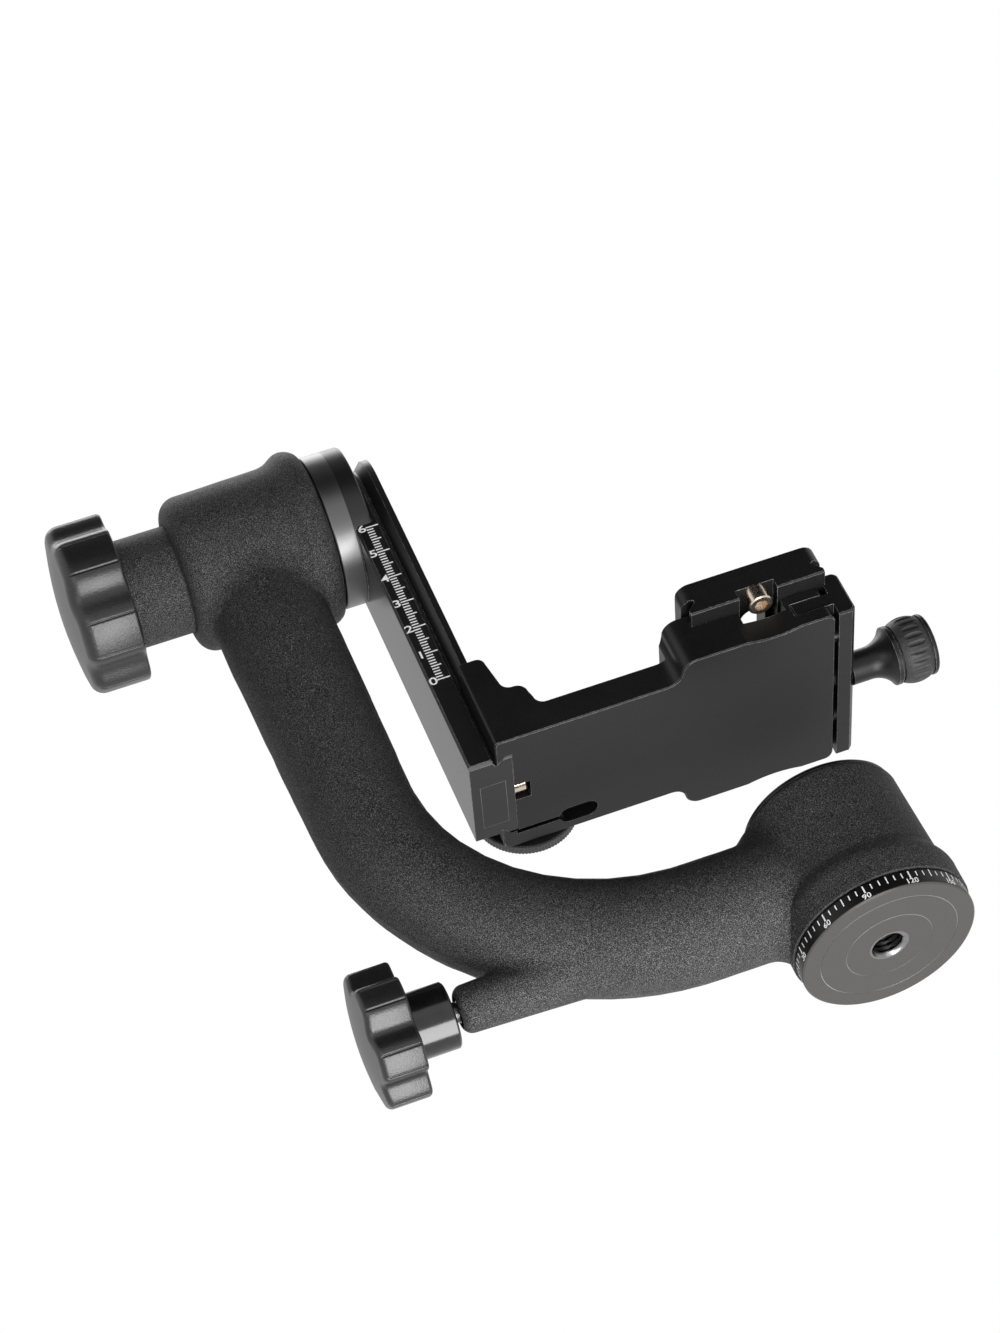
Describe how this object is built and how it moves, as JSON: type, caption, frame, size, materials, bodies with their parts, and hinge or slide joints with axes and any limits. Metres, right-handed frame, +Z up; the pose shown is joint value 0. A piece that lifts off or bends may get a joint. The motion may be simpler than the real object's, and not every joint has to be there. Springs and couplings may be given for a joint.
{
  "type": "gimbal tripod head",
  "caption": "Gimbal tripod head: a curved cast arm pans on a base, a swing plate tilts from it and carries a height-adjustable bracket with a screw clamp and sliding camera plate.",
  "frame": {"origin": "centre of the tripod socket's mouth, in the base plate's bottom face", "axes": "+Z up along the pan axis, +X along the tilt axis from its lock knob towards the clamp knob, +Y away from the side that carries the ruler's digits"},
  "size_m": [0.2204, 0.0706, 0.22],
  "materials": {
    "textured_coat": "cast aluminium with a fine textured dark grey powder coat",
    "base_anodised": "turned, satin dark grey anodised",
    "black_anodised": "machined, satin black anodised",
    "knob_plastic": "moulded, satin dark grey",
    "gloss_black": "turned, gloss black anodised",
    "bearing_steel": "ground",
    "steel": "turned",
    "bush_aluminium": "turned",
    "brass": "pale, turned",
    "rubber": "matt",
    "nylon": "matt"
  },
  "bodies": {
    "base": {"base_plate": "base_anodised", "pan_spindle": "base_anodised", "tripod_bush": "steel", "pan_nut": "steel"},
    "arm": {"arm_casting": "textured_coat", "base_cap": "black_anodised", "pan_bearings": "bearing_steel", "tilt_bearings": "bearing_steel", "tilt_friction_ring": "nylon", "tilt_lock_bush": "bush_aluminium"},
    "pan_pusher": {"pan_brake_pad": "nylon", "pan_push_rod": "steel"},
    "pan_lock_knob": {"pan_knob": "knob_plastic", "pan_collar": "gloss_black", "pan_lock_screw": "steel"},
    "tilt_pusher": {"tilt_brake_pad": "nylon"},
    "tilt_lock_knob": {"tilt_knob": "knob_plastic", "tilt_sleeve": "textured_coat", "tilt_lock_screw": "steel"},
    "swing": {"swing_plate": "black_anodised", "tilt_shaft": "steel", "tilt_spacer": "steel", "tilt_circlip": "steel", "axle_bolt": "steel", "height_stop": "brass"},
    "bracket": {"l_bracket": "black_anodised"},
    "height_washer": {"height_lock_washer": "steel"},
    "height_lock_wheel": {"height_lock_wheel": "black_anodised", "height_lock_bolt": "steel"},
    "jaw": {"clamp_jaw": "black_anodised", "jaw_guide_pins": "steel"},
    "clamp_knob": {"clamp_spindle": "black_anodised", "clamp_grip": "rubber", "clamp_knob_cap": "black_anodised"},
    "quick_plate": {"qr_plate": "black_anodised", "qr_grip_strips": "rubber", "qr_stop_screws": "brass"},
    "camera_clip": {"camera_screw_clip": "steel"},
    "camera_screw": {"camera_screw": "steel"}
  },
  "joints": [
    {"name": "pan", "type": "hinge", "parent": "base", "child": "arm", "pos_m": [0, 0, 0.02365], "axis": [0, 0, 1], "continuous": true},
    {"name": "pan_lock_travel", "type": "slide", "parent": "arm", "child": "pan_pusher", "axis": [1, 0, 0], "range_m": [0, 0.0008]},
    {"name": "pan_lock_turn", "type": "hinge", "parent": "pan_pusher", "child": "pan_lock_knob", "pos_m": [-0.1238, 0, 0.02365], "axis": [1, 0, 0], "range_deg": [0, 288.5]},
    {"name": "tilt_lock_travel", "type": "slide", "parent": "arm", "child": "tilt_pusher", "axis": [1, 0, 0], "range_m": [0, 0.0008]},
    {"name": "tilt_lock_turn", "type": "hinge", "parent": "tilt_pusher", "child": "tilt_lock_knob", "pos_m": [-0.15, 0, 0.1939], "axis": [1, 0, 0], "range_deg": [0, 192.5]},
    {"name": "tilt", "type": "hinge", "parent": "arm", "child": "swing", "pos_m": [-0.0909, 0, 0.1939], "axis": [1, 0, 0], "continuous": true},
    {"name": "height", "type": "slide", "parent": "swing", "child": "bracket", "axis": [0, 0, 1], "range_m": [0, 0.06]},
    {"name": "height_lock_travel", "type": "slide", "parent": "bracket", "child": "height_washer", "axis": [0, -1, 0], "range_m": [0, 0.0003]},
    {"name": "height_lock_turn", "type": "hinge", "parent": "height_washer", "child": "height_lock_wheel", "pos_m": [-0.0658, 0.02445, 0.0977], "axis": [0, -1, 0], "range_deg": [0, 135.5]},
    {"name": "jaw_travel", "type": "slide", "parent": "bracket", "child": "jaw", "axis": [1, 0, 0], "range_m": [0, 0.004]},
    {"name": "clamp_knob_turn", "type": "hinge", "parent": "jaw", "child": "clamp_knob", "pos_m": [0.02775, 0, 0.0886], "axis": [1, 0, 0], "range_deg": [0, 1440.5]},
    {"name": "plate_slide", "type": "slide", "parent": "bracket", "child": "quick_plate", "axis": [0, 1, 0], "range_m": [-0.02, 0.02]},
    {"name": "camera_screw_slide", "type": "slide", "parent": "quick_plate", "child": "camera_clip", "axis": [0, 1, 0], "range_m": [-0.0295, 0.0095]},
    {"name": "camera_screw_turn", "type": "hinge", "parent": "camera_clip", "child": "camera_screw", "pos_m": [0.0039, 0.009, 0.0964], "axis": [0, 0, 1], "continuous": true}
  ],
  "couplings": [
    {"joint": "pan_lock_turn", "follows": "pan_lock_travel", "rad_per_m": 6283.2},
    {"joint": "tilt_lock_turn", "follows": "tilt_lock_travel", "rad_per_m": 4188.8},
    {"joint": "height_lock_turn", "follows": "height_lock_travel", "rad_per_m": 7854},
    {"joint": "clamp_knob_turn", "follows": "jaw_travel", "rad_per_m": 6283.2}
  ]
}
